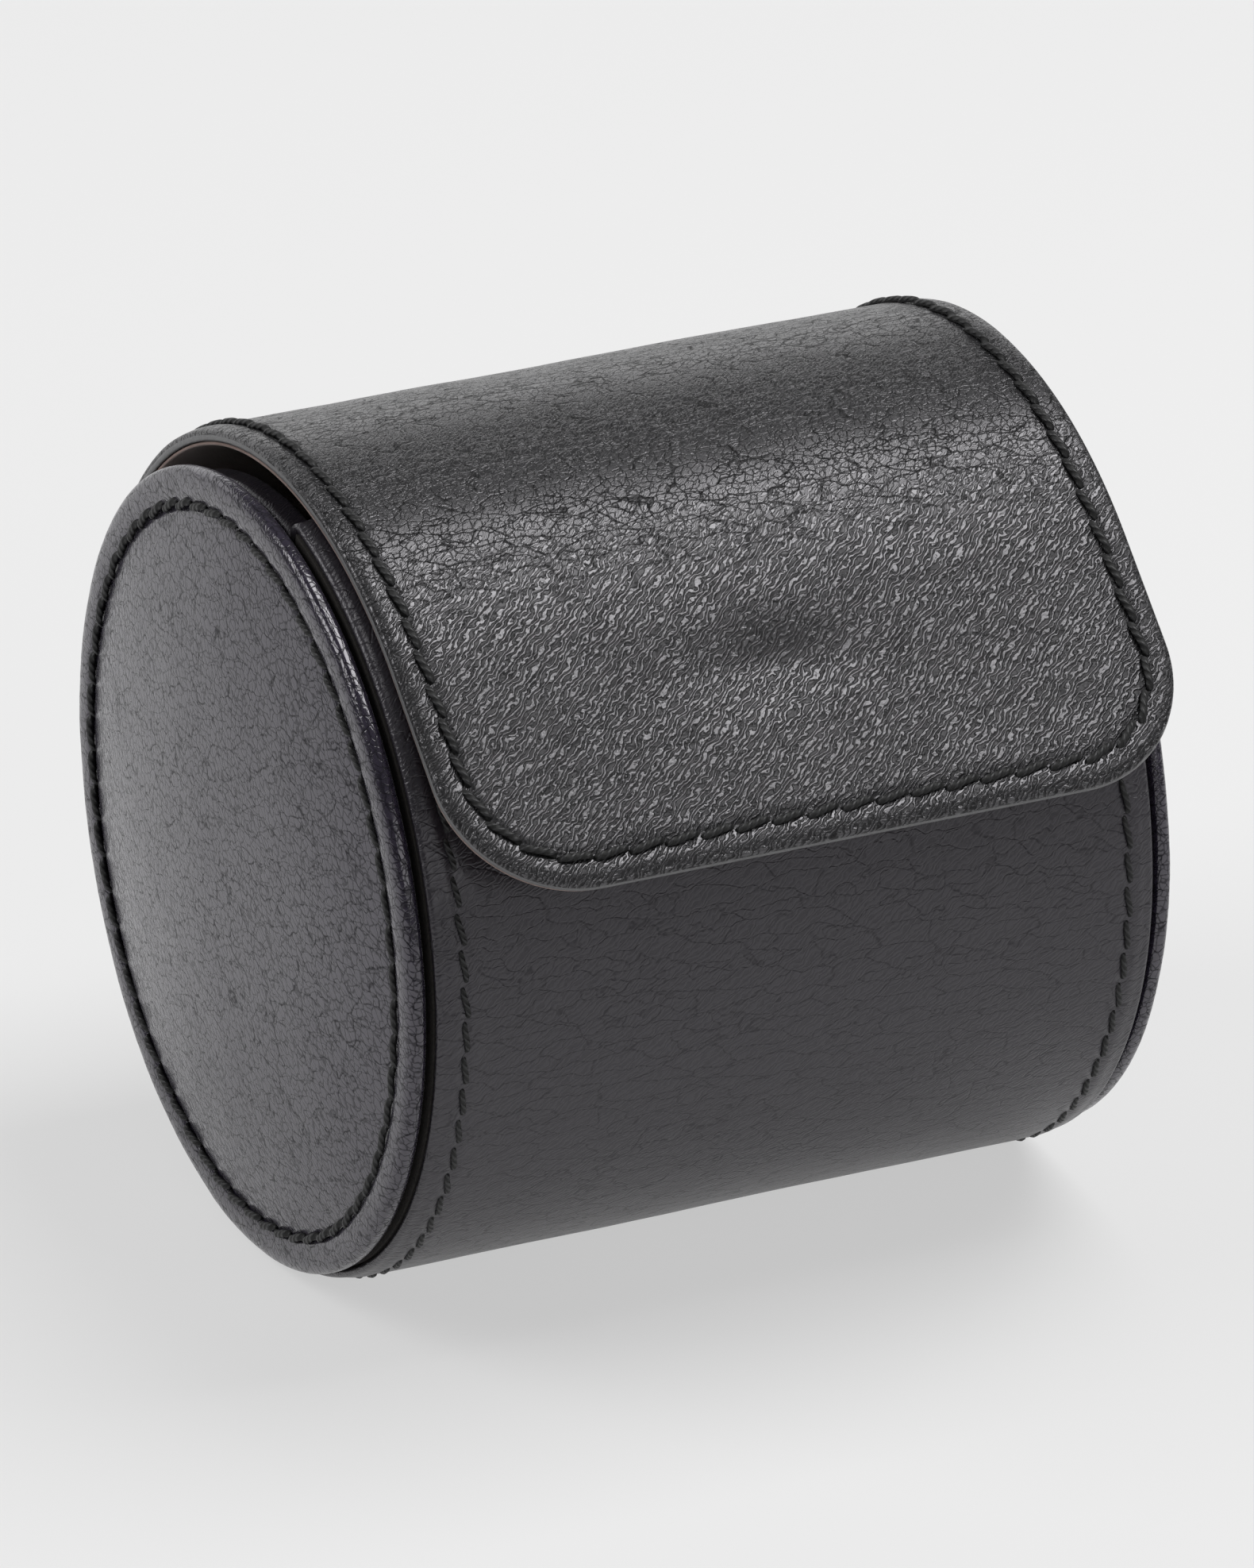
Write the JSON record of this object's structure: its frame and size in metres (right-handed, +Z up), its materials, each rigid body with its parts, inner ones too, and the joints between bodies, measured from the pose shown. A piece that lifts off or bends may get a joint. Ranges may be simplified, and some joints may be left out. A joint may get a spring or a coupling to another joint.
{
  "type": "watch roll",
  "caption": "Watch roll: a leather-covered cylinder lying on its side, with padded end discs, a wrap-over flap on a leather hinge and a lift-out watch cushion.",
  "frame": {"origin": "middle of the flat that the roll rests on", "axes": "+X along the roll to its right end, +Y to the back where the flap is hinged, +Z up"},
  "size_m": [0.0848, 0.0882, 0.0816],
  "materials": {
    "leather": "charcoal pebbled leather with a soft sheen",
    "lining_suede": "brown suede",
    "cushion_suede": "brown suede",
    "board": "raw fibre board",
    "foam": "open-cell foam",
    "thread": "black waxed thread",
    "magnet": "flexible magnet sheet"
  },
  "bodies": {
    "case": {"body_shell": "board", "body_cover": "leather", "body_lining": "lining_suede", "left_end_plug": "board", "right_end_plug": "board", "left_end_lining": "lining_suede", "right_end_lining": "lining_suede", "left_end_binding": "leather", "right_end_binding": "leather", "left_end_board": "board", "right_end_board": "board", "left_end_padding": "foam", "right_end_padding": "foam", "left_end_cover": "leather", "right_end_cover": "leather", "left_end_stitching": "thread", "right_end_stitching": "thread", "left_body_stitching": "thread", "right_body_stitching": "thread", "front_magnet": "magnet", "flap_tail": "leather", "tail_stitching": "thread", "hinge_leather": "leather"},
    "flap": {"flap_cover": "leather", "flap_board": "board", "flap_lining": "lining_suede", "flap_magnet": "magnet", "flap_stitching": "thread", "flap_cross_seam": "thread"},
    "cushion": {"cushion_core": "foam", "cushion_cover": "cushion_suede", "cushion_left_end": "cushion_suede", "cushion_right_end": "cushion_suede", "cushion_left_seam": "cushion_suede", "cushion_right_seam": "cushion_suede"}
  },
  "joints": [
    {"name": "flap_open", "type": "hinge", "parent": "case", "child": "flap", "pos_m": [0, 0.04046, 0.03072], "axis": [-1, 0, 0], "range_deg": [0, 140], "deforming": ["hinge_leather"]},
    {"name": "cushion_lift", "type": "slide", "parent": "case", "child": "cushion", "axis": [0, 0.5736, 0.8191], "range_m": [0, 0.08]}
  ],
  "couplings": [
    {"joint": "cushion_lift", "follows": "flap_open", "m_per_rad": 0.03274}
  ]
}
